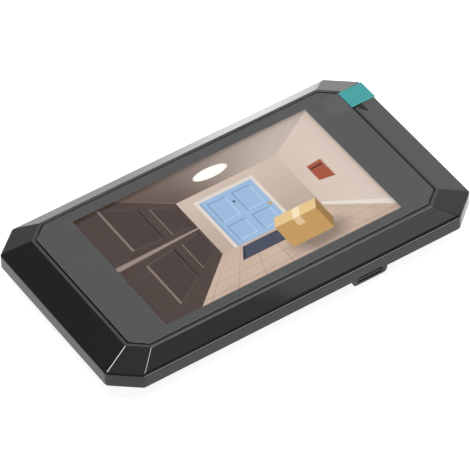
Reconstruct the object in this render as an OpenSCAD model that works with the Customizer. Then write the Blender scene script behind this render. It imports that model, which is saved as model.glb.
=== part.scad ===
// Indoor monitor of a peephole door camera, lying on its back.
// X runs to the right of the screen, Y to its top edge and Z out of the screen.
// The flat rear face lies on Z = 0 and the middle of the case is on the Z axis.

/* [Screen] */
// Lit width of the display
screen_w = 108; // [104:0.5:114]
// Lit height of the display
screen_h = 64.8; // [62:0.2:68]
// Cover glass beyond the lit area, left and right
glass_side = 16.35; // [15:0.05:18]
// Cover glass beyond the lit area, top and bottom
glass_end = 4.8; // [4.6:0.05:6]
// Cut corner of the cover glass, measured along X
glass_corner = 6.4; // [5:0.1:8]
// Thickness of the cover glass
glass_t = 1.2; // [1:0.05:1.6]
// Rounding of the cover glass's front edge
glass_r = 0.25; // [0.1:0.05:0.4]

/* [Case front] */
// Open line between the glass and the rim
rim_gap = 0.45; // [0.25:0.05:0.5]
// Flat rim around the glass
rim_w = 1.4; // [1.2:0.05:2]
// Width of the slanted band left and right
side_bevel = 11.55; // [10:0.05:13]
// Width of the slanted band at the top and bottom edges
end_bevel = 7.1; // [6.2:0.05:8]
// Width of the slanted band at the cut corners
corner_bevel = 10.55; // [9:0.05:11]
// How far the slanted band falls from the rim to the outer edge
bevel_drop = 4.5; // [4.2:0.05:5.5]
// Steepness of the cut corners, Y over X
corner_slope = 0.82; // [0.76:0.01:0.9]
// Height of the upright side wall
wall_h = 6.5; // [6.2:0.05:7.5]
// Thickness of the case walls
wall_t = 2; // [1.8:0.05:2.2]
// Rounding where the slanted band meets the side wall
edge_r = 1.2; // [0.6:0.05:1.6]
// Rounding where the slanted band meets the rim
rim_r = 0.5; // [0.2:0.05:0.8]
// Rounding of the upright corners
corner_r = 2.5; // [1:0.1:4]

/* [Case back] */
// Depth of the back behind the side wall
rear_depth = 8; // [7.8:0.05:10]
// How far the back draws in from the side wall to the rear face
rear_taper = 6.7; // [6:0.05:7.5]
// Rounding around the rear face
rear_r = 1.2; // [0.6:0.1:2]
// Thickness of the rear cover
cover_t = 1.8; // [1.6:0.05:2]
// Length of a bracket slot
bracket_slot_l = 12; // [9:0.5:14]
// Width of a bracket slot
bracket_slot_w = 3.2; // [2.8:0.1:3.6]
// Distance between the bracket slots along X
bracket_pitch_x = 80; // [76:0.5:84]
// Width of the window for the door cable
window_w = 24; // [22:0.5:26]
// Height of the window for the door cable
window_h = 12; // [11:0.5:13]

/* [Card slot and port] */
// Place of the card slot along X
slot_x = 30.2; // [29:0.1:32]
// Length of the card slot
slot_w = 11.8; // [11.7:0.05:12.2]
// Height of the card slot
slot_h = 2.6; // [2.5:0.05:2.8]
// Width of the rounded bump that holds the slot
bump_w = 16; // [15.9:0.1:17]
// How far the bump hangs below the side wall
bump_drop = 2.7; // [2.6:0.05:3.1]
// Length of a memory card
card_l = 15; // [14.8:0.05:15.2]

/* [Keys] */
// Place of the first key along X
key_x = 20; // [19:0.1:21]
// Distance from key to key
key_pitch = 14; // [13.2:0.1:14.4]
// Length of a key cap
key_l = 8; // [7:0.1:8.4]
// Height of a key cap
key_h = 2.2; // [2:0.05:2.4]
// How far a key stands out of the wall
key_proud = 0.55; // [0.45:0.05:0.8]
// How far a key can be pressed
key_travel = 0.4; // [0.3:0.05:0.45]

/* [Hidden] */
$fn = 48;
// Flats in one rounded edge of the case
edge_steps = 5;

// Fits
case_gap = 0.3;
run_gap = 0.3;
thread_gap = 0.05;

// A cut-cornered outline is kept as its distances to the side, the end and the corner edge
corner_norm = sqrt(1 + corner_slope * corner_slope);
corner_angle = atan2(1, corner_slope);
glass_hw = screen_w / 2 + glass_side;
glass_hh = screen_h / 2 + glass_end;
glass_hd = (corner_slope * (glass_hw - glass_corner) + glass_hh) / corner_norm;
glass_o = [glass_hw, glass_hh, glass_hd];
rim_o = grown(glass_o, rim_gap + rim_w);
case_o = rim_o + [side_bevel, end_bevel, corner_bevel];
case_hw = case_o[0];
case_hh = case_o[1];

// Levels, from the rear face up
tape_t = 0.2;
glass_proud = 0.3;
ledge_t = 1.8;
z_wall = rear_depth;
z_edge = z_wall + wall_h;
z_rim = z_edge + bevel_drop;
z_glass = z_rim + glass_proud;
z_glass_back = z_glass - glass_t;
z_ledge = z_glass_back - tape_t;
z_ceil = z_ledge - ledge_t;
z_slot = z_wall - 0.25;

// Display module
panel_side = 3.5;
panel_end = 1.9;
panel_t = 1.4;
guide_t = 1.5;
frame_t = 0.4;
frame_gap = 0.1;
panel_w = screen_w + 2 * panel_side;
panel_h = screen_h + 2 * panel_end;
frame_w = panel_w + 2 * (frame_t + frame_gap);
frame_h = panel_h + 2 * (frame_t + frame_gap);
opening_w = frame_w + 1;
opening_h = frame_h + 1;
z_panel = z_glass_back - panel_t;
z_guide = z_panel - guide_t;
z_frame = z_guide - frame_t;
frame_wall_h = 2.7;

// Rear cover
lip_o = grown(case_o, -wall_t - case_gap);
floor_o = grown(lip_o, -rear_taper);
taper = rear_taper / rear_depth;
cover_side = cover_t * sqrt(1 + taper * taper);
lip_in_o = grown(lip_o, -cover_side);
z_lip = z_wall + 1.4;

// Film and its pull tab
film_t = 0.1;
film_inset = 0.15;
tab_w = 9.6;
tab_l = 11.2;
tab_t = 0.12;
tab_lap = 0.3;
tab_y = glass_hh - corner_slope * glass_corner - tab_w;

// Case screws
screw_inset_x = 6.5;
screw_inset_y = 6;
screw_x = floor_o[0] - screw_inset_x;
screw_y = floor_o[1] - screw_inset_y;
case_screw_r = 1;
case_head_r = 1.9;
case_head_h = 1.3;
case_screw_l = 8.2;
z_seat = 5;
z_boss = z_wall + 0.2;
tube_r = 3.5;
boss_r = 3;

// Main board
board_t = 1.2;
card_t = 0.7;
z_board = z_slot + card_t / 2 + 2 * run_gap;
z_board_top = z_board + board_t;
board_gap = 0.4;
board_edge = lip_in_o[1] - board_gap;
board_start = 14;
board_end = 12;
key_last = key_x + 2 * key_pitch;
board_left = key_x - board_start;
board_right = key_last + board_end;
nose_right = lip_in_o[0] - 2 * board_gap;
nose_w = 22;
board_screw_r = 0.9;
board_head_r = 1.6;
board_head_h = 1;
board_screw_l = 5.2;
board_boss_r = 2.2;
board_hole_gap = 0.25;
board_screw_in = 4;
board_screw_x = [board_left + board_screw_in, board_right - board_screw_in];
board_screw_y = board_edge - board_head_r - 1.1;

// Card socket and card
card_w = 11;
card_sunk = 0.05;
card_ridge_t = 0.2;
card_ridge_w = 1.2;
card_nose_w = 9.7;
card_nose_l = 8.5;
socket_w = bump_w - 3;
socket_l = 15.8;
socket_t = 0.3;
socket_cavity_w = card_w + 2 * run_gap;
chute_t = 1.2;
chute_w = bump_w - 2 * chute_t;
bump_r = 2;
socket_gap = 0.65;
socket_y = -(case_hh - wall_t - socket_gap);
card_y = -case_hh + card_sunk;

// Charging port
port_w = 8.94;
port_h = 3.26;
port_t = 0.3;
port_l = 7.5;
port_back = 0.8;
port_gap = 0.32;
port_sunk = 1.35;
port_x = case_hw - port_sunk;
port_z = z_board_top + port_h / 2;
tongue_w = 6.7;
tongue_t = 0.7;
tongue_l = 6;

// Keys and switches
z_key = z_board_top + 1.3;
key_flange_l = key_l + 2;
key_flange_h = key_h + 0.6;
key_flange_t = 0.8;
key_rest_gap = 0.25;
key_wall_in = case_hh - wall_t;
key_flange_y = key_wall_in - key_rest_gap - key_flange_t;
switch_w = 4.6;
switch_d = 3;
switch_h = 2.6;
plunger_w = 1.3;
plunger_h = 1.1;
plunger_l = 2.2;
plunger_out = 1.15;
plunger_tip = board_edge + plunger_out;
switch_hole_d = plunger_l - plunger_out + key_travel + run_gap;
stem_r = 0.8;

// Battery
battery_t = 6;
battery_tape_t = 0.2;
battery_tape_inset = 4;
battery_left = -screw_x + tube_r + 1.5;
battery_gap = 12;
battery_right = board_left - battery_gap;
battery_h = 2 * (screw_y - tube_r) + 1;
z_battery = cover_t + battery_tape_t;
plug_w = 5;
plug_d = 6;
plug_h = 4;
plug_x = board_left + 3.5;
plug_y = -10;
lead_r = 0.5;
lead_pitch = 3;

// Door cable socket, speaker and bracket slots
window_x = bracket_pitch_x / 2;
window_y = 17;
ribbon_w = 18;
ribbon_d = 5.5;
ribbon_h = 3;
speaker_x = window_x + 4;
speaker_y = -12;
speaker_r = 12;
gasket_t = 0.6;
gasket_r = 9.8;
speaker_h = 4.2;
cone_r = 10;
cone_seat_r = 9.2;
cone_sunk = 0.8;
cone_t = 0.3;
cone_room = 2.4;
cap_r = 2.5;
z_speaker = cover_t + gasket_t;
contact_r = 0.6;
contact_pitch = 12;
grille_r = 0.8;
grille_pitch = 2.9;
bracket_inset = 4.8;
bracket_y = floor_o[1] - bracket_inset;

// Shield, processor, display socket and display ribbon
shield_w = 26;
shield_d = 22;
shield_h = 2.2;
shield_t = 0.3;
shield_x = 29;
shield_y = 6;
chip_w = 12;
chip_t = 1;
panel_socket_in = 7;
panel_socket_up = 16.8;
panel_socket_x = frame_w / 2 - panel_socket_in;
panel_socket_y = panel_socket_up - frame_h / 2;
panel_socket_w = 4;
panel_socket_d = 23;
panel_socket_h = 1.6;
flex_w = 20;
flex_t = 0.2;
flex_gap = 0.1;
flex_in = 2;
// Lengths of the display ribbon on the tray, on its slope and before its socket
flex_flat = 11;
flex_slope = 6;
flex_lead = 3;

// Outline helpers
function grown(o, t) = [o[0] + t, o[1] + t, o[2] + t];
function corner_leg(o) = o[0] + (o[1] - o[2] * corner_norm) / corner_slope;
function outline(o) =
  let (cx = corner_leg(o), cy = corner_slope * cx, w = o[0], h = o[1])
  [[w - cx, h], [w, h - cy], [w, cy - h], [w - cx, -h],
   [cx - w, -h], [-w, cy - h], [-w, h - cy], [cx - w, h]];
function unit(v) = v / norm(v);

// Points of an arc that rounds the corner p between its neighbours a and b
function arc_points(a, p, b, r) =
  r == 0 ? [p] :
  let (u = unit(a - p), v = unit(b - p), half = acos(u * v) / 2,
       c = p + unit(u + v) * r / sin(half),
       from = p + u * r / tan(half) - c, to = p + v * r / tan(half) - c,
       start = atan2(from[1], from[0]), sweep = atan2(to[1], to[0]) - start,
       turn = sweep - 360 * round(sweep / 360))
  [for (i = [0:edge_steps]) let (w = start + turn * i / edge_steps) c + r * [cos(w), sin(w)]];
function smoothed(pts, radii) =
  let (n = len(pts))
  [for (i = [0:n - 1]) each arc_points(pts[(i + n - 1) % n], pts[i], pts[(i + 1) % n], radii[i])];

// Flat plate with cut corners, between two levels
module plate(o, z0, z1) {
  translate([0, 0, z0]) linear_extrude(z1 - z0) polygon(outline(o));
}

// Block between two levels, standing on the XY plane's middle
module block(w, h, z0, z1) {
  translate([-w / 2, -h / 2, z0]) cube([w, h, z1 - z0]);
}

// One bar through the whole case whose cross-section is a half profile and its mirror image,
// with a radius for each corner of the half profile
module profile_bar(half, radii, angle) {
  last = len(half) - 1;
  back = [for (i = [last:-1:0]) [-half[i][0], half[i][1]]];
  back_radii = [for (i = [last:-1:0]) radii[i]];
  rotate([90, 0, angle]) linear_extrude(3 * case_hw, center = true)
    polygon(smoothed(concat(half, back), concat(radii, back_radii)));
}

// Faceted body: the common part of one bar for each of its four pairs of opposite sides
module faceted(profiles, radii) {
  intersection() {
    profile_bar(profiles[0], radii, 0);
    profile_bar(profiles[1], radii, 90);
    profile_bar(profiles[2], radii, corner_angle);
    profile_bar(profiles[2], radii, -corner_angle);
  }
}

// Half profiles of the bezel's outside and inside, and of the rear cover's
function bezel_outside(i) = [[case_o[i], z_wall], [case_o[i], z_edge], [rim_o[i], z_rim]];
function bezel_inside(i) =
  let (rise = bevel_drop / (case_o[i] - rim_o[i]), deep = wall_t * sqrt(1 + rise * rise), r = case_o[i] - wall_t)
  [[r, z_wall - 1], [r, z_edge + wall_t * rise - deep], [case_o[i] - (z_ceil - z_edge + deep) / rise, z_ceil]];
function cover_outside(i) = [[floor_o[i], 0], [lip_o[i], z_wall], [lip_o[i], z_lip]];
function cover_inside(i) =
  [[floor_o[i] + cover_t * taper - cover_side, cover_t], [lip_in_o[i], z_wall], [lip_in_o[i], z_lip + 1]];
function glass_outside(i) = [[glass_o[i], z_glass_back], [glass_o[i], z_glass]];

// Round-ended bar along X, in the XY plane
module stadium(l, h) {
  square([l - h, h], center = true);
  for (side = [-1, 1]) translate([side * (l - h) / 2, 0]) circle(d = h);
}

// The same as a bar from y0 to y1, its middle at x and z
module stadium_y(l, h, x, z, y0, y1) {
  translate([x, y1, z]) rotate([90, 0, 0]) linear_extrude(y1 - y0) stadium(l, h);
}

// The same as a bar from x0 to x1, its middle at y = 0 and z
module stadium_x(l, h, z, x0, x1) {
  translate([x0, 0, z]) rotate([90, 0, 90]) linear_extrude(x1 - x0) stadium(l, h);
}

// Bump around the card slot: square above, with two round lower corners
module bump(y0, y1, top) {
  low = z_wall - bump_drop;
  translate([slot_x, y1, 0]) rotate([90, 0, 0]) linear_extrude(y1 - y0) {
    translate([-bump_w / 2, low + bump_r]) square([bump_w, top - low - bump_r]);
    translate([-bump_w / 2 + bump_r, low]) square([bump_w - 2 * bump_r, 2 * bump_r]);
    for (side = [-1, 1]) translate([side * (bump_w / 2 - bump_r), low + bump_r]) circle(bump_r);
  }
}

// Copies at the four case screws and at the four board screws
module at_case_screws() {
  for (x = [-1, 1]) for (y = [-1, 1]) translate([x * screw_x, y * screw_y, 0]) children();
}

module at_board_screws() {
  for (x = board_screw_x) for (y = [-1, 1]) translate([x, y * board_screw_y, 0]) children();
}

module upright(r, z0, z1) {
  translate([0, 0, z0]) cylinder(r = r, h = z1 - z0);
}

// Front half of the case: faceted band, rim, glass seat and side walls
module front_bezel() {
  color([0.03, 0.03, 0.035]) difference() {
    union() {
      difference() {
        intersection() {
          faceted([for (i = [0:2]) bezel_outside(i)], [0, edge_r, rim_r]);
          translate([0, 0, z_wall - 1]) linear_extrude(z_rim - z_wall + 2)
            polygon(smoothed(outline(case_o), [for (i = [1:8]) corner_r]));
        }
        faceted([for (i = [0:2]) bezel_inside(i)], [0, 0, 0]);
      }
      bump(-case_hh, -case_hh + wall_t, z_wall + 1);
      at_case_screws() upright(boss_r, z_boss, z_ceil + 0.5);
      at_board_screws() upright(board_boss_r, z_board_top, z_ceil + 0.5);
    }
    plate(grown(glass_o, rim_gap), z_ledge, z_rim + 1);
    block(opening_w, opening_h, z_ceil - 1, z_ledge + 1);
    stadium_y(slot_w, slot_h, slot_x, z_slot, -case_hh - 1, -case_hh + wall_t + 1);
    stadium_x(port_w + 2 * port_gap, port_h + 2 * port_gap, port_z, case_hw - wall_t - 1, case_hw + 1);
    for (i = [0:2])
      stadium_y(key_l + 2 * run_gap, key_h + 2 * run_gap, key_x + i * key_pitch, z_key, key_wall_in - 1, case_hh + 1);
    at_case_screws() upright(case_screw_r + thread_gap, z_boss - 1, z_seat + case_screw_l + 1);
    at_board_screws() upright(board_screw_r + thread_gap, z_board_top - 1, z_board + board_screw_l + 0.5);
  }
}

// Rear half of the case: a faceted tray with screw tubes, bracket slots, cable window and grille
module rear_cover() {
  color([0.04, 0.04, 0.045]) difference() {
    union() {
      difference() {
        union() {
          faceted([for (i = [0:2]) cover_outside(i)], [rear_r, 0, 0]);
          bump(-lip_o[1], -lip_o[1] + rear_taper, z_lip);
        }
        faceted([for (i = [0:2]) cover_inside(i)], [0, 0, 0]);
        translate([slot_x - chute_w / 2, -lip_o[1] - 1, z_slot - slot_h / 2])
          cube([chute_w, rear_taper + 4, z_lip]);
      }
      at_case_screws() upright(tube_r, cover_t / 2, z_boss);
    }
    at_case_screws() upright(case_head_r + 0.4, -1, z_seat);
    at_case_screws() upright(case_screw_r + 0.25, 0, z_boss + 1);
    for (x = [-1, 1]) for (y = [-1, 1])
      translate([x * bracket_pitch_x / 2, y * bracket_y, -1])
        linear_extrude(cover_t + 2) stadium(bracket_slot_l, bracket_slot_w);
    translate([window_x, window_y, 0]) block(window_w, window_h, -1, cover_t + 1);
    for (i = [-3:3]) for (j = [-3:3]) {
      x = (i + j / 2) * grille_pitch;
      y = j * grille_pitch * sqrt(3) / 2;
      if (norm([x, y]) < 2.7 * grille_pitch)
        translate([speaker_x + x, speaker_y + y, 0]) upright(grille_r, -1, cover_t + 1);
    }
  }
}

// Cover glass, the tape that holds it, the shipping film and the film's tab
module cover_glass() {
  color([0.09, 0.09, 0.1]) faceted([for (i = [0:2]) glass_outside(i)], [0, glass_r]);
}

module glass_tape() {
  color([0.1, 0.1, 0.1]) difference() {
    plate(grown(glass_o, -run_gap), z_ledge, z_glass_back);
    block(opening_w + 0.4, opening_h + 0.4, z_ledge - 1, z_glass_back + 1);
  }
}

module protective_film() {
  color([0.8, 0.85, 0.9, 0.3]) plate(grown(glass_o, -film_inset), z_glass, z_glass + film_t);
}

module pull_tab() {
  color([0.05, 0.4, 0.38])
    translate([glass_hw - film_inset - tab_lap, tab_y, z_glass + film_t]) cube([tab_l, tab_w, tab_t]);
}

// Display module: panel bonded to the glass, light guide behind it, steel tray around both
module lcd_panel() {
  color([0.5, 0.55, 0.6]) block(panel_w, panel_h, z_panel, z_glass_back);
}

module light_guide() {
  color([0.95, 0.95, 0.95]) block(panel_w - 1, panel_h - 1, z_guide, z_panel);
}

module lcd_frame() {
  color([0.7, 0.7, 0.72]) difference() {
    block(frame_w, frame_h, z_frame, z_frame + frame_wall_h);
    block(frame_w - 2 * frame_t, frame_h - 2 * frame_t, z_guide, z_frame + frame_wall_h + 1);
  }
}

// Display ribbon: flat on the tray, down a slope and into its socket on the board
module lcd_flex() {
  z_in = z_board_top + panel_socket_h / 2;
  x_in = panel_socket_x - panel_socket_w / 2;
  x_down = x_in - flex_lead;
  x_bend = x_down - flex_slope;
  path = [[x_bend - flex_flat, z_frame - flex_t], [x_bend, z_frame - flex_t],
          [x_down, z_in - flex_t / 2], [x_in + flex_in, z_in - flex_t / 2]];
  up = [for (i = [3:-1:0]) path[i] + [0, flex_t]];
  color([0.75, 0.45, 0.1]) translate([0, panel_socket_y + flex_w / 2, 0]) rotate([90, 0, 0])
    linear_extrude(flex_w) polygon(concat(path, up));
}

module panel_socket() {
  z_in = z_board_top + panel_socket_h / 2;
  color([0.85, 0.82, 0.75]) difference() {
    translate([panel_socket_x, panel_socket_y, 0])
      block(panel_socket_w, panel_socket_d, z_board_top, z_board_top + panel_socket_h);
    translate([panel_socket_x - panel_socket_w / 2 - 1, panel_socket_y - flex_w / 2 - flex_gap, z_in - flex_t / 2])
      cube([flex_in + 1 + flex_gap, flex_w + 2 * flex_gap, flex_t + flex_gap]);
  }
}

// Main board with a tongue at the card slot and a nose at the charging port
module main_board() {
  color([0.02, 0.2, 0.12]) difference() {
    union() {
      translate([board_left, -board_edge, z_board]) cube([board_right - board_left, 2 * board_edge, board_t]);
      translate([board_right - 1, -nose_w / 2, z_board]) cube([nose_right - board_right + 1, nose_w, board_t]);
      translate([slot_x - socket_w / 2, socket_y, z_board]) cube([socket_w, board_edge, board_t]);
    }
    at_board_screws() upright(board_screw_r + board_hole_gap, z_board - 1, z_board_top + 1);
    at_case_screws() upright(tube_r + run_gap, z_board - 1, z_board_top + 1);
  }
}

module shield_can() {
  color([0.75, 0.75, 0.76]) translate([shield_x, shield_y, 0]) difference() {
    block(shield_w, shield_d, z_board_top, z_board_top + shield_h);
    block(shield_w - 2 * shield_t, shield_d - 2 * shield_t, z_board_top - 1, z_board_top + shield_h - shield_t);
  }
}

module processor() {
  color([0.05, 0.05, 0.05]) translate([shield_x, shield_y, 0]) block(chip_w, chip_w, z_board_top, z_board_top + chip_t);
}

// Socket for the cable that comes through the door, behind its window
module ribbon_socket() {
  color([0.9, 0.88, 0.8]) translate([window_x, window_y, 0]) difference() {
    block(ribbon_w, ribbon_d, z_board - ribbon_h, z_board);
    block(ribbon_w - 2, ribbon_d / 3, z_board - ribbon_h - 1, z_board - ribbon_h / 3);
  }
}

// Card socket on the rear of the board, its mouth against the case wall
module card_socket() {
  z_low = z_slot - card_t / 2 - run_gap;
  color([0.7, 0.7, 0.72]) difference() {
    translate([slot_x - socket_w / 2, socket_y, z_low - socket_t])
      cube([socket_w, socket_l, z_board - z_low + socket_t]);
    translate([slot_x - socket_cavity_w / 2, socket_y - 1, z_low])
      cube([socket_cavity_w, socket_l + 0.2, card_t + 2 * run_gap]);
  }
}

module memory_card() {
  color([0.25, 0.25, 0.27]) translate([slot_x, card_y, z_slot - card_t / 2]) {
    linear_extrude(card_t) polygon([
      [-card_w / 2, 0], [card_w / 2, 0], [card_w / 2, card_l - card_nose_l],
      [card_nose_w - card_w / 2, card_l - card_nose_l + 1], [card_nose_w - card_w / 2, card_l], [-card_w / 2, card_l]]);
    translate([-card_w / 2 + 0.6, 0, card_t - 0.01]) cube([card_w - 1.2, card_ridge_w, card_ridge_t]);
  }
}

// Charging port: a round-ended metal shell with a contact tongue inside
module usb_shell() {
  color([0.8, 0.8, 0.82]) difference() {
    stadium_x(port_w, port_h, port_z, port_x - port_l, port_x);
    stadium_x(port_w - 2 * port_t, port_h - 2 * port_t, port_z, port_x - port_l + port_back, port_x + 1);
  }
}

module usb_tongue() {
  color([0.05, 0.05, 0.05])
    translate([port_x - port_l + port_back, -tongue_w / 2, port_z - tongue_t / 2]) cube([tongue_l, tongue_w, tongue_t]);
}

// Battery pouch taped to the rear cover, and its plug and leads
module battery_pack() {
  color([0.75, 0.75, 0.78])
    translate([(battery_left + battery_right) / 2, battery_h / 2, z_battery + battery_t / 2])
      rotate([90, 0, 0]) linear_extrude(battery_h) stadium(battery_right - battery_left, battery_t);
}

module battery_tape() {
  color([0.9, 0.9, 0.85]) translate([(battery_left + battery_right) / 2, 0, 0])
    block(battery_right - battery_left - 2 * battery_tape_inset, battery_h - 2 * battery_tape_inset, cover_t, z_battery);
}

module battery_plug() {
  color([0.92, 0.9, 0.85]) translate([plug_x + plug_w / 2, plug_y, 0]) block(plug_w, plug_d, z_board - plug_h, z_board);
}

module battery_leads() {
  color([0.6, 0.05, 0.05]) for (side = [-1, 1])
    translate([battery_right, plug_y + side * lead_pitch / 2, z_battery + battery_t / 2]) rotate([0, 90, 0])
      cylinder(r = lead_r, h = plug_x - battery_right);
}

// Speaker that faces the grille in the rear cover
module speaker_frame() {
  color([0.1, 0.1, 0.1]) translate([speaker_x, speaker_y, 0]) difference() {
    upright(speaker_r, z_speaker, z_speaker + speaker_h);
    upright(cone_r + run_gap, z_speaker - 1, z_speaker + cone_sunk);
    upright(cone_seat_r, z_speaker, z_speaker + cone_room);
  }
}

module speaker_cone() {
  low = cone_sunk - cone_t;
  color([0.15, 0.15, 0.16]) translate([speaker_x, speaker_y, z_speaker]) rotate_extrude() polygon([
    [0, low + 0.4], [cap_r, low + 0.6], [cone_seat_r - 1.4, low], [cone_r, low],
    [cone_r, cone_sunk], [cone_seat_r - 1.3, cone_sunk], [cap_r, low + 1], [0, low + 0.8]]);
}

module speaker_gasket() {
  color([0.12, 0.12, 0.12]) translate([speaker_x, speaker_y, 0]) difference() {
    upright(speaker_r, cover_t, z_speaker);
    upright(gasket_r, cover_t - 1, z_speaker + 1);
  }
}

module speaker_contacts() {
  color([0.85, 0.7, 0.3]) for (side = [-1, 1])
    translate([speaker_x + side * contact_pitch / 2, speaker_y, 0]) upright(contact_r, z_speaker + speaker_h, z_board);
}

// Three side switches on the board, with their plungers and the keys that press them
module key_switches() {
  color([0.2, 0.2, 0.2]) for (i = [0:2]) translate([key_x + i * key_pitch, board_edge, 0]) difference() {
    translate([-switch_w / 2, -switch_d, z_board_top]) cube([switch_w, switch_d, switch_h]);
    translate([-plunger_w / 2 - run_gap, -switch_hole_d, z_key - plunger_h / 2 - run_gap])
      cube([plunger_w + 2 * run_gap, switch_hole_d + 1, plunger_h + 2 * run_gap]);
  }
}

module plunger(i) {
  color([0.85, 0.85, 0.82])
    translate([key_x + i * key_pitch - plunger_w / 2, plunger_tip - plunger_l, z_key - plunger_h / 2])
      cube([plunger_w, plunger_l, plunger_h]);
}

module key(i) {
  x = key_x + i * key_pitch;
  color([0.06, 0.06, 0.065]) {
    stadium_y(key_l, key_h, x, z_key, key_flange_y, case_hh + key_proud);
    translate([x - key_flange_l / 2, key_flange_y, z_key - key_flange_h / 2])
      cube([key_flange_l, key_flange_t, key_flange_h]);
    translate([x, key_flange_y + 0.1, z_key]) rotate([90, 0, 0])
      cylinder(r = stem_r, h = key_flange_y + 0.1 - plunger_tip);
  }
}

module power_key() key(0);

module up_key() key(1);

module down_key() key(2);

module power_plunger() plunger(0);

module up_plunger() plunger(1);

module down_plunger() plunger(2);

// Screws: a flat head and a round shank
module case_screws() {
  color([0.5, 0.5, 0.52]) at_case_screws() {
    upright(case_head_r, z_seat - case_head_h, z_seat);
    upright(case_screw_r, z_seat - 0.1, z_seat + case_screw_l);
  }
}

module board_screws() {
  color([0.6, 0.6, 0.62]) at_board_screws() {
    upright(board_head_r, z_board - board_head_h, z_board);
    upright(board_screw_r, z_board - 0.1, z_board + board_screw_l);
  }
}

front_bezel();
rear_cover();
cover_glass();
glass_tape();
protective_film();
pull_tab();
lcd_panel();
light_guide();
lcd_frame();
lcd_flex();
panel_socket();
main_board();
shield_can();
processor();
ribbon_socket();
card_socket();
memory_card();
usb_shell();
usb_tongue();
battery_pack();
battery_tape();
battery_plug();
battery_leads();
speaker_frame();
speaker_cone();
speaker_gasket();
speaker_contacts();
key_switches();
power_key();
up_key();
down_key();
power_plunger();
up_plunger();
down_plunger();
case_screws();
board_screws();
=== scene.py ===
# %% [markdown]
# # A door viewer's indoor monitor
# This lesson dresses a packed solid model of a small indoor monitor: a black faceted case with a
# lit display under dark glass, its clear shipping film still on. The solid model gives every piece's
# place and size in metres, so no piece has to be moved to where it belongs.

# %% Load the packed model
import math
import random

import bmesh
import bpy
from mathutils import Matrix, Vector
from mathutils.bvhtree import BVHTree


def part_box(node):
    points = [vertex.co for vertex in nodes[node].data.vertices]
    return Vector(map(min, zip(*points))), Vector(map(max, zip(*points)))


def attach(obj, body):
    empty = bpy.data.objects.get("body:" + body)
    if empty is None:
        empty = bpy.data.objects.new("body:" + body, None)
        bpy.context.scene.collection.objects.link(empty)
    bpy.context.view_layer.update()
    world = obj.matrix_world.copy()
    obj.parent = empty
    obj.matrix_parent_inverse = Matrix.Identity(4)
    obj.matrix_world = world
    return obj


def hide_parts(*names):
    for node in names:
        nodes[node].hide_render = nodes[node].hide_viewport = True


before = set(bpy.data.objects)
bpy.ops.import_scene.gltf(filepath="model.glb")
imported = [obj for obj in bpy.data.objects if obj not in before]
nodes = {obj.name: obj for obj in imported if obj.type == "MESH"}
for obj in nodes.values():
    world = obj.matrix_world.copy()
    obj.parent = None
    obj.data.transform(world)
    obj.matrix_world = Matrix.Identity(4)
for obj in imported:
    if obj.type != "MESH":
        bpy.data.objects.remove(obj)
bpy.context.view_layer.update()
scene = bpy.context.scene
mm = 0.001

# %% [markdown]
# ## Shader maths as plain expressions
# A finish that varies over a surface is a small sum. Wired by hand, each plus sign costs four lines,
# so a wrapper lets Python's own operators add the Math nodes. Everything that isn't plain arithmetic,
# from noise to colour mixing, comes from the one method called node.


# %% A socket that can be added and multiplied
def operator(operation, swapped=False):
    """A method that adds a Math node; a reflected form has its two values swapped."""

    def method(self, other):
        values = {0: other, 1: self} if swapped else {0: self, 1: other}
        return self.node("ShaderNodeMath", {"operation": operation}, values)

    return method


class Wire:
    """An output socket that Python's operators work on: each one adds a Math node."""

    def __init__(self, socket):
        self.socket = socket

    def node(self, kind, settings, sockets, out=0):
        """Adds any node to this wire's tree: its settings first, then its sockets' values or links."""
        made = self.socket.id_data.nodes.new(kind)
        for name, value in settings.items():
            setattr(made, name, value)
        for key, value in sockets.items():
            feed(made.inputs[key], value)
        return type(self)(made.outputs[out])

    def math(self, operation, *others):
        """Any other Math node, with this wire as its first value."""
        return self.node("ShaderNodeMath", {"operation": operation}, dict(enumerate((self, *others))))

    __add__, __radd__ = operator("ADD"), operator("ADD", swapped=True)
    __sub__, __rsub__ = operator("SUBTRACT"), operator("SUBTRACT", swapped=True)
    __mul__, __rmul__ = operator("MULTIPLY"), operator("MULTIPLY", swapped=True)
    __truediv__, __rtruediv__ = operator("DIVIDE"), operator("DIVIDE", swapped=True)

    def __abs__(self):
        return self.math("ABSOLUTE")


def feed(socket, value):
    """Links a wire to a socket, or sets the socket's own value; a colour may leave out its alpha."""
    if isinstance(value, Wire):
        socket.id_data.links.new(value.socket, socket)
    elif socket.type == "RGBA" and len(value) == 3:
        socket.default_value = (*value, 1.0)
    else:
        socket.default_value = value


print("operators ready:", [name for name in vars(Wire) if name.startswith("__r")])

# %% [markdown]
# ## Masks and mixes
# Patterns are made from a few shapes of value: a soft step, a band between two edges, a box, and a
# mix of two colours. Noise stands for everything that no mould or press repeats exactly.


# %% Steps, bands and boxes
def step(value, low, high):
    """0 below low, 1 above high and a soft rise between them; low may be the larger one."""
    sockets = {"Value": value, "From Min": low, "From Max": high}
    return value.node("ShaderNodeMapRange", {"interpolation_type": "SMOOTHSTEP"}, sockets)


def band(value, low, high, soft):
    """1 between low and high, with soft edges."""
    return step(value, low - soft, low + soft) * step(value, high + soft, high - soft)


def box(x, y, left, right, low, high, soft):
    return band(x, left, right, soft) * band(y, low, high, soft)


def away_from(x, y, middle):
    """How far a point lies from a middle."""
    across = x - middle[0]
    up = y - middle[1]
    squared = across * across + up * up
    return squared.math("SQRT")


def disc(x, y, middle, radius, soft):
    """1 inside a circle, with a soft edge."""
    return step(away_from(x, y, middle), radius + soft, radius - soft)


def repeat(value, pitch):
    """How far a value is through its pitch, from 0 to 1 and over again."""
    turns = value / pitch
    return turns.math("FRACT")


print("masks ready")


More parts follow.
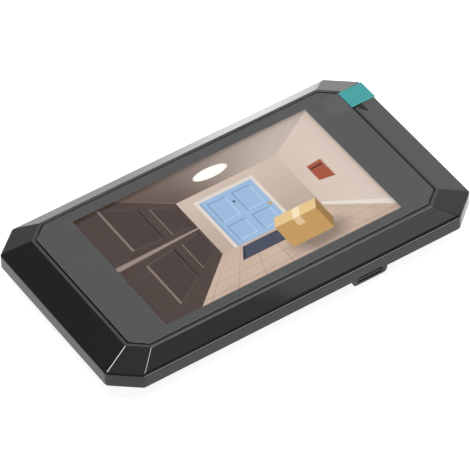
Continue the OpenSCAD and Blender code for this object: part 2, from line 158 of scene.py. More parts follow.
# %% Mixes, noise and places
def mix(share, under, over):
    """Colour under where share is 0, colour over where it is 1."""
    return share.node("ShaderNodeMix", {"data_type": "RGBA"}, {0: share, 6: under, 7: over}, out=2)


def noise(place, scale, detail=2.0):
    sockets = {"Vector": place, "Scale": scale, "Detail": detail}
    return place.node("ShaderNodeTexNoise", {"noise_dimensions": "3D"}, sockets)


def stretched(place, x, y, z):
    """The place with each axis multiplied, so that a pattern is drawn out along one of them."""
    return place.node("ShaderNodeVectorMath", {"operation": "MULTIPLY"}, {0: place, 1: (x, y, z)})


def axes(place, wanted="XYZ"):
    """The wanted parts of a place, in millimetres."""
    large = stretched(place, 1000, 1000, 1000)
    return [large.node("ShaderNodeSeparateXYZ", {}, {0: large}, out=part) for part in wanted]


def bump(place, height, strength, depth):
    sockets = {"Height": height, "Strength": strength, "Distance": depth}
    return place.node("ShaderNodeBump", {}, sockets)


print("patterns ready")


# %% One call that starts a finish
def finish(name, **even):
    """A material with one Principled shader, a way to set its sockets, and the place on its surface."""
    material = bpy.data.materials.new(name)
    material.use_nodes = True
    inputs = material.node_tree.nodes["Principled BSDF"].inputs

    def put(**values):
        """Sets or links sockets of the shader, with _ for a space in their names."""
        for key, value in values.items():
            feed(inputs[key.replace("_", " ")], value)

    put(**even)
    place = Wire(material.node_tree.nodes.new("ShaderNodeTexCoord").outputs["Object"])
    return material, put, place


def mottled(name, pattern, colours, roughness, ior):
    """A material whose colour and roughness follow one noise, given by its scale and detail."""
    material, put, place = finish(name, IOR=ior)
    speck = noise(place, *pattern)
    put(Base_Color=mix(speck, *colours))
    put(Roughness=roughness[0] + speck * roughness[1])
    return material, put, place


print("finishes can be started")


# %% Where a solid is and what it wears
def extent(node):
    """The low and high corner of a solid's box, in millimetres."""
    low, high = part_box(node)
    return Vector(low) / mm, Vector(high) / mm


def middle_of(node):
    """The middle of a solid's box, in millimetres."""
    low, high = extent(node)
    return (low + high) / 2


def wear(node, material):
    """Puts a finish on a solid model's own piece."""
    mesh = nodes[node].data
    mesh.materials.clear()
    mesh.materials.append(material)
    print(node, "wears", material.name)


print("middle of the display:", [round(part, 2) for part in middle_of("lcd_panel")], "mm")

# %% [markdown]
# ## Camera
# The photograph was taken from well back with a long lens, so its edges hardly converge. The place,
# the direction and the focal length were solved from the case's corners in the picture. A camera in
# Blender looks along its own -Z, with +X to the right.


# %% Place the camera
def add_object(name, data):
    """Puts a new object with the given data into the scene."""
    made = bpy.data.objects.new(name, data)
    scene.collection.objects.link(made)
    return made


picture_px, focal_px, sensor_mm = 470, 4184.8, 36.0
camera_place = Vector((-0.61924, -0.92639, 1.16717))
camera_right = Vector((0.8274961, -0.5614261, -0.0071302))
camera_forward = Vector((0.3847832, 0.5762956, -0.7209891))
camera_up = camera_right.cross(camera_forward)
lens = bpy.data.cameras.new("camera")
lens.sensor_width = sensor_mm
lens.lens = focal_px / picture_px * sensor_mm
camera = add_object("camera", lens)
turn = Matrix((camera_right, camera_up, -camera_forward)).transposed()
camera.matrix_world = Matrix.Translation(camera_place) @ turn.to_4x4()
scene.camera = camera
scene.view_settings.view_transform = "Standard"
print("lens:", round(lens.lens, 1), "mm")

# %% [markdown]
# ## Studio
# Black gloss plastic has almost no colour of its own: what we see is the room. So the room is
# drawn as a sky of soft glows: a bright wall behind, a paler one on the right, a dim ceiling. Lamps
# could do it too, but a glow in the sky is even over the whole case. The floor is seen by the camera
# and by reflections only, as plain white with a soft shadow. Brighter places on it are there for the
# case's walls to mirror. From below it isn't seen at all, so that the back can be looked at.

# %% Draw the room
world = bpy.data.worlds.new("studio")
world.use_nodes = True
scene.world = world
sky = world.node_tree
background = sky.nodes["Background"]
feed(background.inputs["Color"], (1.0, 1.0, 1.0))
heading = Wire(sky.nodes.new("ShaderNodeTexCoord").outputs["Generated"])
height = heading.node("ShaderNodeSeparateXYZ", {}, {0: heading}, out=2)
room_level, below_level, horizon = 0.15, 0.75, 0.08
room = room_level + step(height, 0.0, -horizon) * (below_level - room_level)
# Each glow has a direction, a width in degrees from its middle to its edge, and a strength.
glows = [
    ((0.58, 0.81, 0.00), 14, 2.75),
    ((0.86, 0.42, 0.32), 44, 0.91),
    ((0.38, 0.58, 0.72), 27, 1.0),
    ((-0.10, 0.00, 0.99), 40, 0.31),
    ((0.05, 0.94, 0.34), 22, 0.42),
    ((0.38, -0.43, 0.82), 18, 0.35),
    ((-0.19, 0.29, 0.94), 9, 20.0),
    ((0.13, -0.26, 0.96), 9, 20.0),
    ((0.38, 0.10, 0.92), 8, 15.0),
]
for towards, width, strength in glows:
    values = {0: heading, 1: Vector(towards).normalized()}
    along = heading.node("ShaderNodeVectorMath", {"operation": "DOT_PRODUCT"}, values, out=1)
    room = room + step(along, math.cos(math.radians(width)), 1.0) * strength
seen = Wire(sky.nodes.new("ShaderNodeLightPath").outputs["Is Camera Ray"])
feed(background.inputs["Strength"], room * (1 - seen) + seen)
print("glows:", len(glows))

# %% Hang one soft box for the shadow
soft_box = bpy.data.lights.new("soft_box", "AREA")
soft_box.shape = "RECTANGLE"
soft_box.size = 0.16
soft_box.size_y = 0.30
soft_box.energy = 0.122
lamp = add_object("soft_box", soft_box)
lamp.location = (0.372, -0.31, 0.51)
lamp.rotation_euler = lamp.location.to_track_quat("Z", "Y").to_euler()
print("soft box:", soft_box.energy, "W")

# %% Lay the floor
floor_half, floor_level = 3.0, -0.0002
corners = [(-1, -1), (1, -1), (1, 1), (-1, 1)]
floor_points = [(x * floor_half, y * floor_half, floor_level) for x, y in corners]
floor_mesh = bpy.data.meshes.new("floor")
floor_mesh.from_pydata(floor_points, [], [(0, 1, 2, 3)])
floor = add_object("floor", floor_mesh)
print("floor:", 2 * floor_half, "m wide")

# %% Light the floor
floor_grey, floor_white, camera_extra = (0.40, 0.40, 0.40), 0.66, 0.25
patch_light, far_light, strip_light = 1.8, 0.25, 4.2
patch_middle, patch_reach = (70.0, 106.0), 70.0
floor_finish, put, place = finish("floor", Base_Color=floor_grey, Roughness=1.0, Specular_IOR_Level=0.0)
put(Emission_Strength=1.0)
x, y = axes(place, "XY")
bright_patch = disc(x, y, patch_middle, patch_reach / 2, patch_reach / 2)
far_part = step(y, 60, 100)
front_strip = box(x, y, -80, 700, -700, -100, 12)
floor_nodes = floor_finish.node_tree.nodes
path = floor_nodes.new("ShaderNodeLightPath").outputs
kinds = ("Camera", "Glossy", "Transmission")
camera_ray, glossy_ray, clear_ray = [Wire(path[f"Is {kind} Ray"]) for kind in kinds]
lamp_light = bright_patch * patch_light + far_part * far_light + front_strip * strip_light
put(Emission_Color=floor_white + lamp_light + camera_ray * camera_extra)
shown = camera_ray + glossy_ray + clear_ray
from_below = Wire(floor_nodes.new("ShaderNodeNewGeometry").outputs["Backfacing"])
put(Alpha=shown.math("MINIMUM", 1.0) * (1 - from_below))
floor_mesh.materials.append(floor_finish)
print("nodes in the floor's finish:", len(floor_nodes))

# %% [markdown]
# ## Working copies of the solids
# The packed meshes are loose triangles with flat faces, and they stay as they are. Where a piece needs
# softer edges, a copy has its points merged and its coplanar triangles joined, is worked on, and then
# stands for the solid. Smooth shading with large faces ruling the normals keeps flats flat and lets
# only the rounded edges turn.


# %% Copy a solid
def object_from(shape, name):
    """A new object with a bmesh's shape, which is freed."""
    mesh = bpy.data.meshes.new(name)
    shape.to_mesh(mesh)
    shape.free()
    return add_object(name, mesh)


def merged_copy(node, name):
    """A new object with the solid's shape, its points merged and its flat faces whole."""
    shape = bmesh.new()
    shape.from_mesh(nodes[node].data)
    bmesh.ops.remove_doubles(shape, verts=shape.verts, dist=1e-7)
    bmesh.ops.dissolve_limit(shape, angle_limit=math.radians(0.3), verts=shape.verts, edges=shape.edges)
    return object_from(shape, name)


print("solids to copy:", len(nodes))


# %% Cut and shade a piece
def settle(piece):
    """Works the piece's modifiers into its mesh."""
    graph = bpy.context.evaluated_depsgraph_get()
    plain = bpy.data.meshes.new_from_object(piece.evaluated_get(graph))
    piece.modifiers.clear()
    piece.data = plain


def cut_with(piece, tool, operation):
    """Works a Boolean with a tool's shape into a piece, and removes the tool."""
    cut = piece.modifiers.new("cut", "BOOLEAN")
    cut.operation = operation
    cut.solver = "EXACT"
    cut.use_self = True
    cut.object = tool
    settle(piece)
    bpy.data.objects.remove(tool)


def shade(piece, sharpest):
    """Smooth shading, with edges over so many degrees left sharp and large faces kept flat."""
    piece.data.shade_smooth()
    piece.data.set_sharp_from_angle(angle=math.radians(sharpest))
    weigh = piece.modifiers.new("weigh", "WEIGHTED_NORMAL")
    weigh.keep_sharp = True
    weigh.weight = 100
    settle(piece)


print("pieces can be cut and shaded")


# %% Hand over a piece
def carry(piece, body="housing"):
    """Says which body a new piece moves with."""
    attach(piece, body)


def stand_for(piece, node, material, body="housing"):
    """Hands a piece over in a solid's place."""
    piece.data.materials.clear()
    piece.data.materials.append(material)
    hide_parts(node)
    carry(piece, body)
    print(piece.name, "stands for", node, "with", len(piece.data.polygons), "faces")


print("pieces can be handed over")

# %% [markdown]
# ## Case front
# The front is one moulding: a flat rim, a slanted band in eight facets, and upright walls. Mould makers
# never leave the lines between facets sharp; a small radius there catches a lamp as a thin bright line.
# Bevelling the solid's own mesh would stumble over the slivers in its corners, so the outside is lofted
# anew from rounded rings, a hair smaller than the solid, and the solid is cut down to it. Slots,
# bosses and inner walls then come from the solid, and the skin from the loft.

# %% Rings of the loft
skin_gap = 0.01
corner_slope = 0.82
corner_norm = math.hypot(1, corner_slope)
glass_high = extent("cover_glass")[1]
glass_leg = 6.4
glass_far = (corner_slope * (glass_high.x - glass_leg) + glass_high.y) / corner_norm
rim_wide = 1.70
band_wide = (11.70, 7.25, 10.70)
z_wall, z_edge, z_rim = 8.0, 14.5, 19.0
rim_reach = [reach + rim_wide for reach in (glass_high.x, glass_high.y, glass_far)]
case_reach = [rim + wide for rim, wide in zip(rim_reach, band_wide)]
arc_steps = 6


def corner_ring(reach, radius):
    """Points of a cut-cornered outline at so far a reach to its side, end and corner edges, rounded."""
    wide, high, far = reach
    leg = wide + (high - far * corner_norm) / corner_slope
    rise = corner_slope * leg
    quarter = [(wide, high - rise), (wide - leg, high)]
    sharp = quarter + [(-x, y) for x, y in reversed(quarter)]
    sharp += [(-x, -y) for x, y in sharp]
    points = []
    for i, here in enumerate(sharp):
        corner = Vector(here)
        back = (Vector(sharp[i - 1]) - corner).normalized()
        ahead = (Vector(sharp[(i + 1) % 8]) - corner).normalized()
        half = back.angle(ahead) / 2
        middle = corner + (back + ahead).normalized() * radius / math.sin(half)
        start = corner + back * radius / math.tan(half) - middle
        sweep = math.pi - 2 * half
        for k in range(arc_steps + 1):
            points.append(middle + Matrix.Rotation(sweep * k / arc_steps, 2) @ start)
    return points


print("points in a ring:", len(corner_ring(case_reach, 2.5)))

# %% Where the rounded outside stands
edge_rounds = (1.0, 2.4, 1.3)
rim_round, foot_round = 0.7, 0.3


def reach_at(side, z):
    """How far the rounded outside stands from the middle at a height, for one of the three edges."""
    wall, rim, edge_round = case_reach[side], rim_reach[side], edge_rounds[side]
    fall = math.atan2(z_rim - z_edge, wall - rim)
    lift = edge_round * math.tan((math.pi / 2 - fall) / 2)
    if z < z_wall + foot_round:
        up = z_wall + foot_round - z
        return wall - foot_round + math.sqrt(max(foot_round**2 - up**2, 0))
    if z < z_edge - lift:
        return wall
    if z < z_edge + lift * math.sin(fall):
        return wall - edge_round + math.sqrt(max(edge_round**2 - (z - z_edge + lift) ** 2, 0))
    if z < z_rim - rim_round * (1 - math.cos(fall)):
        return wall - (z - z_edge) / math.tan(fall)
    drop = rim_round - (z_rim - z)
    inner = rim - rim_round * math.tan(fall / 2)
    return inner + math.sqrt(max(rim_round**2 - drop**2, 0))


print("reach at the rim:", [round(reach_at(side, z_rim), 2) for side in range(3)], "mm")

# %% Loft the skin
mitre_round, wall_round = 0.8, 2.5
turn_low, turn_high = 12.8, 15.25
rim_low, rim_high = 18.86, 18.98


def spaced(low, high, count):
    """Evenly spaced heights from low up to, but without, high."""
    return [low + (high - low) * k / count for k in range(count)]


levels = spaced(z_wall, z_wall + foot_round, 4) + spaced(z_wall + foot_round, turn_low, 1)
levels += spaced(turn_low, turn_high, 22) + spaced(turn_high, rim_low, 2)
levels += spaced(rim_low, rim_high, 8) + spaced(rim_high, z_rim, 4) + [z_rim]
z_middle = (z_wall + z_rim) / 2
drawn_in = 1 - 2 * skin_gap / (z_rim - z_wall)
skin = bmesh.new()
rings = []
for z in levels:
    turned = min(max((z - turn_low) / (turn_high - turn_low), 0), 1)
    round_off = wall_round + (mitre_round - wall_round) * turned
    reach = [reach_at(side, z) - skin_gap for side in range(3)]
    lift = z_middle + (z - z_middle) * drawn_in
    ring = [skin.verts.new((p.x * mm, p.y * mm, lift * mm)) for p in corner_ring(reach, round_off)]
    rings.append(ring)
for low_ring, high_ring in zip(rings, rings[1:]):
    for k in range(len(low_ring)):
        skin.faces.new((low_ring[k - 1], low_ring[k], high_ring[k], high_ring[k - 1]))
skin.faces.new(reversed(rings[0]))
skin.faces.new(rings[-1])
print("rings:", len(rings))

# %% Leave room for the bump of the card slot, and cut the solid down
card_low, card_high = extent("memory_card")
slot_size = Vector((16.02, 8.0, 3.3))
slot_place = Vector((middle_of("memory_card").x, 2.4 - case_reach[1], 6.65))
slot_room = bmesh.ops.create_cube(skin, size=1.0)["verts"]
bmesh.ops.scale(skin, vec=slot_size * mm, verts=slot_room)
bmesh.ops.translate(skin, vec=slot_place * mm, verts=slot_room)
bmesh.ops.recalc_face_normals(skin, faces=skin.faces)
case_front = merged_copy("front_bezel", "case_front")
cut_with(case_front, object_from(skin, "skin"), "INTERSECT")
shade(case_front, 35)
print("case front:", len(case_front.data.polygons), "faces")

# %% [markdown]
# ## Gloss plastic
# The case front is black plastic moulded in a polished tool and lacquered. It isn't a mirror: polishing
# leaves long soft streaks, which show as roughness and not as colour. A clear coat over a darker base
# gives the two reflections that lacquer has.

# %% Make the gloss and put it on the front
gloss, put, place = finish("gloss_black", Coat_Roughness=0.03, IOR=1.5, Coat_Weight=0.12)
streaks = noise(stretched(place, 30, 110, 110), 1.0, 3.0)
haze = noise(place, 60.0)
put(Roughness=0.035 + streaks * 0.045 + haze * 0.02)
put(Base_Color=mix(haze, (0.010, 0.010, 0.011), (0.014, 0.014, 0.015)))
peel = noise(place, 700.0, 1.0)
put(Normal=bump(place, peel, 0.05, 0.00002))
stand_for(case_front, "front_bezel", gloss)

# %% [markdown]
# ## Rear cover
# The back faces the door, so its tool is etched instead of polished: a fine matt grain hides scratches.
# A grain that small can't be modelled; a bump from cell noise does it.

# %% Make the grain and put it on the back
grain, put, place = finish("grain_black", IOR=1.5)
cells = place.node("ShaderNodeTexVoronoi", {"feature": "F1"}, {"Vector": place, "Scale": 2600.0})
cloud = noise(place, 45.0, 3.0)
put(Base_Color=mix(cloud, (0.018, 0.018, 0.019), (0.026, 0.026, 0.027)))
put(Roughness=0.48 + cells * 0.12 + cloud * 0.08)
put(Normal=bump(place, cells, 0.35, 0.00004))
case_back = merged_copy("rear_cover", "case_back")
shade(case_back, 30)
stand_for(case_back, "rear_cover", grain)

# %% [markdown]
# ## Cover glass
# The glass is printed black on its back except for a window over the display, so one finish has two
# states, and Alpha tells them apart. A window that mirrors one ray in a hundred would make the picture
# grainy, so it lets every ray through, and the display's own face carries the gloss. The open line
# between glass and rim isn't even on the real case, so the plate's edges are trimmed to it.

# %% Print the glass
glass, put, place = finish("printed_glass", IOR=1.56)
window_middle, window_half = (0.13, -0.40), (54.0, 32.4)
window_soft, larger_below = 0.05, 1.5


def window_at(place):
    """1 inside the clear window of the print, which is a little larger below the front face."""
    x, y, z = axes(place)
    larger = step(z, z_rim + 0.1, z_rim - 0.1) * larger_below
    across = abs(x - window_middle[0]) - larger
    up = abs(y - window_middle[1]) - larger
    clear = step(across, window_half[0] + window_soft, window_half[0] - window_soft)
    return clear * step(up, window_half[1] + window_soft, window_half[1] - window_soft)


dust = noise(place, 220.0, 4.0)
put(Base_Color=mix(dust, (0.010, 0.010, 0.011), (0.014, 0.014, 0.015)))
put(Roughness=0.05 + dust * 0.06)
put(Alpha=1 - window_at(place))
print("window:", [2 * side for side in window_half], "mm")

# %% Fit the glass into its opening
glass_seat, film_seat, seat_gap = 18.2, 19.35, 0.03
trim_right, trim_near, trim_far = 0.41, -0.15, 0.07


def lifted(piece, seat):
    """Raises what lies below a plate's seat a hair, out of one plane with what is under the plate."""
    for point in piece.data.vertices:
        if point.co.z < seat * mm:
            point.co.z += seat_gap * mm
    return piece


def trimmed(piece):
    """Brings a plate's edges in so far as its open line is wider there, or out where it is narrower."""
    for point in piece.data.vertices:
        if point.co.x > 0:
            point.co.x -= trim_right * mm
        point.co.y += (trim_near if point.co.y < 0 else -trim_far) * mm
    return piece


cover = trimmed(lifted(merged_copy("cover_glass", "cover"), glass_seat))
shade(cover, 30)
stand_for(cover, "cover_glass", glass)

# %% [markdown]
# ## Picture on the display
# A door viewer shows the landing outside. The picture is drawn by sums alone: a corridor in
# one-point perspective. Every point is divided by how much nearer than the far wall it lies, which
# turns walls, floor and ceiling into flat drawings of their own.

# %% Corridor coordinates
panel, put, place = finish("lit_panel", Roughness=0.08, IOR=1.5, Specular_IOR_Level=0.125)
put(Emission_Strength=0.72)
x, y = axes(place, "XY")
picture_shift, vanishing = (0.77, 0.56), (4.0, 3.0)
room_left, room_right, room_top, room_low = 20, 26, 15, 17
x = x - picture_shift[0]
y = y - picture_shift[1]
lit = box(x, y, -57.0, 55.8, -34.0, 33.2, 0.12)
across = x - vanishing[0]
up = y - vanishing[1]
left_s = across * (-1 / room_left)
right_s = across * (1 / room_right)
top_s = up * (1 / room_top)
low_s = up * (-1 / room_low)
wall_s = left_s.math("MAXIMUM", right_s)
flat_s = top_s.math("MAXIMUM", low_s)
nearer = wall_s.math("MAXIMUM", flat_s).math("MAXIMUM", 1.0)
depth = 1 / nearer
over = across / nearer
rise = up / nearer
on_wall = step(wall_s - flat_s, -0.012, 0.012)
near_part = step(nearer, 1.0, 1.015)
on_left = on_wall * near_part * step(across, 0.1, -0.1)
on_right = on_wall * near_part * step(across, -0.1, 0.1)
on_ceiling = (1 - on_wall) * near_part * step(up, -0.1, 0.1)
on_floor = (1 - on_wall) * near_part * step(up, 0.1, -0.1)
mottle = noise(place, 90.0, 3.0)
print("corridor:", room_left + room_right, "wide and", room_top + room_low, "high")


# %% Boxes drawn one over another
def drawn(under, x, y, boxes):
    """Draws boxes over a colour, each with its left, right, low and high side, softness and colour."""
    for left, right, low, high, soft, colour in boxes:
        under = mix(box(x, y, left, right, low, high, soft), under, colour)
    return under


print("boxes can be drawn")

# %% Far wall with a door
cream, cream_shade = (0.60, 0.485, 0.415), (0.44, 0.345, 0.285)
blue, blue_dark, blue_light = (0.30, 0.45, 0.66), (0.20, 0.32, 0.50), (0.42, 0.57, 0.76)
picture = mix(step(rise, room_top, -room_low) * 0.7 + mottle * 0.3, cream, cream_shade)
door = [
    (-14.6, 12.6, -17.5, 11.6, 0.12, (0.68, 0.62, 0.57)),
    (-13.0, 11.0, -17.5, 10.0, 0.12, blue),
    (-13.0, -12.4, -17.5, 10.0, 0.2, blue_dark),
]
for low, high in ((-3.5, 8.0), (-15.0, -6.0)):
    for left, right in ((-10.8, -2.4), (0.4, 8.8)):
        door.append((left, right, low, high, 0.15, blue_dark))
        door.append((left + 0.7, right, low, high - 0.7, 0.15, blue_light))
        door.append((left + 0.7, right - 0.5, low + 0.5, high - 0.7, 0.15, blue))
picture = drawn(picture, over, rise, door)
picture = mix(disc(over, rise, (9.9, -4.9), 0.8, 0.15), picture, (0.55, 0.36, 0.12))
picture = mix(disc(over, rise, (-1.0, 3.6), 0.55, 0.15), picture, (0.03, 0.03, 0.04))
print("boxes in the door:", len(door))

# %% Side walls
brown, brown_dark, brown_light = (0.060, 0.041, 0.036), (0.014, 0.009, 0.008), (0.30, 0.24, 0.21)
wood = mix(mottle, brown, (0.078, 0.054, 0.047))
boards = band(rise, -12.5, -2.6, 0.15) + band(rise, 1.4, 12.2, 0.15)
for back, front in ((0.92, 0.66), (0.59, 0.42)):
    wood = mix(boards * band(depth, front, back, 0.004), wood, brown_dark)
    wood = mix(boards * band(depth, front, back - 0.012, 0.004), wood, brown_light)
    wood = mix(boards * band(depth, front + 0.006, back - 0.012, 0.004), wood, brown)
wood = mix(band(rise, -1.0, -0.2, 0.12), wood, brown_light)
picture = mix(on_left, picture, wood)
plaster = mix(step(depth, 0.95, 0.5) * 0.5 + mottle * 0.4, cream, (0.68, 0.57, 0.50))
plaster = mix(band(rise, -17.2, -15.2, 0.12), plaster, (0.72, 0.67, 0.62))
letter_box = [
    (0.66, 0.80, -4.5, 2.5, 0.01, (0.34, 0.075, 0.036)),
    (0.675, 0.785, 0.6, 1.2, 0.006, (0.06, 0.02, 0.015)),
]
picture = mix(on_right, picture, drawn(plaster, depth, rise, letter_box))
print("side walls drawn")

# %% Ceiling and floor
ceiling = mix(step(over, -room_left, room_right), (0.13, 0.088, 0.074), (0.52, 0.43, 0.38))
ceiling = mix(disc(over * 0.016, depth, (0.0, 0.70), 0.085, 0.008), ceiling, (1.0, 0.97, 0.90))
picture = mix(on_ceiling, picture, ceiling)
tile = band(repeat(over, 6.0), 0.02, 0.98, 0.015) * band(repeat(depth, 0.085), 0.03, 0.97, 0.02)
stone = mix(mottle, (0.50, 0.37, 0.29), (0.60, 0.46, 0.37))
stone = mix((1 - tile) * 0.5, stone, (0.30, 0.21, 0.16))
mat = [
    (-11.0, 9.0, 0.70, 0.93, 0.01, (0.030, 0.036, 0.060)),
    (-10.0, 8.0, 0.72, 0.91, 0.01, (0.055, 0.065, 0.10)),
]
picture = mix(on_floor, picture, drawn(stone, over, depth, mat))
print("ceiling and floor drawn")

# %% Parcel on the mat, and the light across it all
kraft, kraft_dark, kraft_light = (0.50, 0.29, 0.10), (0.30, 0.165, 0.055), (0.74, 0.52, 0.25)
tape, tape_light = (0.66, 0.48, 0.26), (0.86, 0.70, 0.46)
shadow = disc(x * 0.45, y, (9.0, -26.2), 5.5, 3.0)
picture = mix(shadow * 0.6, picture, (0.05, 0.04, 0.035))
lean = (y + 14.0) * 0.55
lid = [(8.0, 27.0, -14.2, -9.4, 0.12, kraft_light), (16.2, 19.4, -14.2, -9.4, 0.12, tape_light)]
picture = drawn(picture, x - lean, y, lid)
face = [(8.0, 27.0, -26.4, -14.0, 0.12, kraft), (16.2, 19.4, -18.2, -14.0, 0.12, tape)]
picture = drawn(picture, x, y, face)
flank_y = y - (x - 27.0) * 1.8
picture = drawn(picture, x, flank_y, [(27.0, 29.6, -26.4, -14.0, 0.12, kraft_dark)])
edge = step(abs(x), 40, 62) + step(abs(y), 24, 40)
picture = mix(edge * 0.10, picture, (0.02, 0.016, 0.014))
put(Emission_Color=mix(lit, (0.004, 0.004, 0.004), picture))
# Painted light: the picture is painted into the base colour too, at about a third of its brightness, so
# that lamps light it as well; this stands in for part of the screen's glow.
painted_screen_glow = mix(lit * 0.65, picture, (0.0, 0.0, 0.0))
put(Base_Color=mix(lit, (0.010, 0.010, 0.011), painted_screen_glow))
wear("lcd_panel", panel)
print("nodes in the picture:", len(panel.node_tree.nodes))

# %% [markdown]
# ## Shipping film and tab
# A thin clear film keeps the glass clean until the first owner pulls it off by its teal tab. It is all
# but invisible: a little haze, a paler line at its cut edge, and a patch where the tab's clear glue lies.
# Over the picture even the haze is left off, for the same reason as the window's gloss.

# %% Film
film, put, place = finish("clear_film", Base_Color=(0.80, 0.83, 0.86), Roughness=0.2)
x, y = axes(place, "XY")
inner = box(x, y, -69.8, 69.8, -36.65, 36.65, 0.2)
glue = box(x, y, 61.5, 70.3, 22.4, 32.0, 0.15)
wisps = noise(stretched(place, 40, 90, 90), 1.0, 3.0)
veil = 0.008 + wisps * 0.008 + glue * 0.010 + (1 - inner) * 0.010
put(Alpha=veil * (1 - window_at(place)))
film_sheet = lifted(merged_copy("protective_film", "film_sheet"), film_seat)
stand_for(film_sheet, "protective_film", film)

# %% Tab
tab, put, place = finish("teal_tab")
x, y = axes(place, "XY")
fibres = noise(stretched(place, 60, 900, 60), 1.0, 3.0)
teal = mix(fibres, (0.006, 0.29, 0.297), (0.017, 0.335, 0.34))
border = box(x, y, 69.9, 80.9, 22.65, 31.7, 0.12)
put(Base_Color=mix(1 - border, teal, (0.035, 0.36, 0.37)))
put(Roughness=0.26 + fibres * 0.12)
wear("pull_tab", tab)

# %% [markdown]
# ## Screws
# Four screws close the case and four hold the board. All eight have the same form: a low head with a
# cross recess, a shank with a thread, a point. A form that repeats suits Geometry Nodes: one tree with
# named sizes draws a screw, puts a copy on each point of a mesh, and ends as a plain mesh.


# %% Shapes in a tree
class Piece(Wire):
    """A socket of a Geometry Nodes tree, with shapes that are made and moved by one call each."""

    def triple(self, x, y, z):
        return self.node("ShaderNodeCombineXYZ", {}, {0: x, 1: y, 2: z})

    def cone(self, low, high, tall):
        sockets = {"Vertices": 32, "Radius Bottom": low, "Radius Top": high, "Depth": tall}
        return self.node("GeometryNodeMeshCone", {}, sockets)

    def block(self, x, y, z):
        return self.node("GeometryNodeMeshCube", {}, {"Size": self.triple(x, y, z)})

    def moved(self, x, y, z):
        sockets = {"Geometry": self, "Translation": self.triple(x, y, z)}
        return self.node("GeometryNodeTransform", {}, sockets)

    def joined(self, *others):
        made = self.node("GeometryNodeJoinGeometry", {}, {})
        for other in (*reversed(others), self):
            feed(made.socket.node.inputs[0], other)
        return made

    def copied_on(self, points):
        return self.node("GeometryNodeInstanceOnPoints", {}, {"Points": points, "Instance": self})

    def plain(self, material):
        """Ends a tree: copies become real faces, and they get their finish."""
        real = self.node("GeometryNodeRealizeInstances", {}, {"Geometry": self})
        dressed = real.node("GeometryNodeSetMaterial", {}, {"Geometry": real, "Material": material})
        feed(self.socket.id_data.nodes.new("NodeGroupOutput").inputs["Geometry"], dressed)


print("shapes:", [name for name in vars(Piece) if not name.startswith("_")])


# %% A tree with named sizes, grown on points
def tree_with(name, sizes):
    """An empty Geometry Nodes tree with a geometry in and out, named sizes and a material."""
    tree = bpy.data.node_groups.new(name, "GeometryNodeTree")
    sockets = [("Geometry", "INPUT", "Geometry")] + [(size, "INPUT", "Float") for size in sizes]
    sockets += [("Material", "INPUT", "Material"), ("Geometry", "OUTPUT", "Geometry")]
    for socket, way, kind in sockets:
        tree.interface.new_socket(socket, in_out=way, socket_type="NodeSocket" + kind)
    given = tree.nodes.new("NodeGroupInput").outputs
    return tree, {socket.name: Piece(socket) for socket in given if socket.name}


def grown(name, points, tree, sizes, material):
    """A piece made by a tree on a mesh of loose points, as a plain mesh."""
    mesh = bpy.data.meshes.new(name)
    mesh.from_pydata([Vector(point) * mm for point in points], [], [])
    piece = add_object(name, mesh)
    modifier = piece.modifiers.new(name, "NODES")
    modifier.node_group = tree
    values = {size: length * mm for size, length in sizes.items()}
    values["Material"] = material
    for socket in tree.interface.items_tree:
        if socket.name in values:
            modifier[socket.identifier] = values[socket.name]
    settle(piece)
    print(name, "has", len(piece.data.polygons), "faces")
    return piece


print("trees can be drawn")

# %% Draw a screw's head
screw_sizes = ["Head Radius", "Head Height", "Shank Radius", "Length", "Recess", "Pitch"]
screw, given = tree_with("cross_screw", screw_sizes)
points, material = given["Geometry"], given["Material"]
head_r, head_h, shank_r, long, recess, pitch = [given[size] for size in screw_sizes]
rim_h = head_h * 0.55
head = points.cone(head_r, head_r, rim_h).moved(0, 0, rim_h * -1)
dome_h = head_h - rim_h
dome = points.cone(head_r * 0.72, head_r, dome_h).moved(0, 0, head_h * -1)
slit, cross_h = recess * 0.26, head_h * 1.1
cross = points.block(recess, slit, cross_h).joined(points.block(slit, recess, cross_h))
cross = cross.moved(0, 0, head_h * -1)
sockets = {"Mesh 1": head.joined(dome), "Mesh 2": cross, "Self Intersection": True}
settings = {"operation": "DIFFERENCE", "solver": "EXACT"}
driven = points.node("GeometryNodeMeshBoolean", settings, sockets)
print("nodes in a head:", len(screw.nodes))

# %% Draw its shank
core_r, core_long = shank_r * 0.78, long * 0.86
core = points.cone(core_r, core_r, core_long)
tip = points.cone(core_r, shank_r * 0.15, long * 0.14).moved(0, 0, core_long)
first, onward = points.triple(0, 0, pitch * 0.5), points.triple(0, 0, pitch)
sockets = {"Count": core_long / pitch, "Start Location": first, "Offset": onward}
ladder = points.node("GeometryNodeMeshLine", {}, sockets)
ridge_low = points.cone(core_r, shank_r, pitch * 0.3).moved(0, 0, pitch * -0.3)
ridge = points.cone(shank_r, core_r, pitch * 0.4).joined(ridge_low)
thread = ridge.copied_on(ladder)
driven.joined(core, tip, thread).copied_on(points).plain(material)
print("nodes in a screw:", len(screw.nodes))

# %% [markdown]
# ## Steel
# Small screws and pressed shells are zinc or nickel plated. Plating is bright but never even: it has
# faint cloudy stains, and the tool leaves fine lines in one direction.


# %% Make plated steel
def plated(name, colour, roughness, lines):
    """A plated metal with fine lines along one axis and faint stains."""
    metal, put, place = finish(name, Metallic=1.0)
    rub = noise(stretched(place, *lines), 1.0, 3.0)
    stain = noise(place, 300.0, 3.0)
    dull = tuple(part * 0.72 for part in colour)
    put(Base_Color=mix(stain * 0.5 + rub * 0.3, colour, dull))
    put(Roughness=roughness + rub * 0.18)
    put(Normal=bump(place, rub, 0.08, 0.00003))
    return metal


zinc = plated("zinc_plate", (0.62, 0.62, 0.61), 0.22, (900, 900, 90))
print("nodes in a plating:", len(zinc.node_tree.nodes))

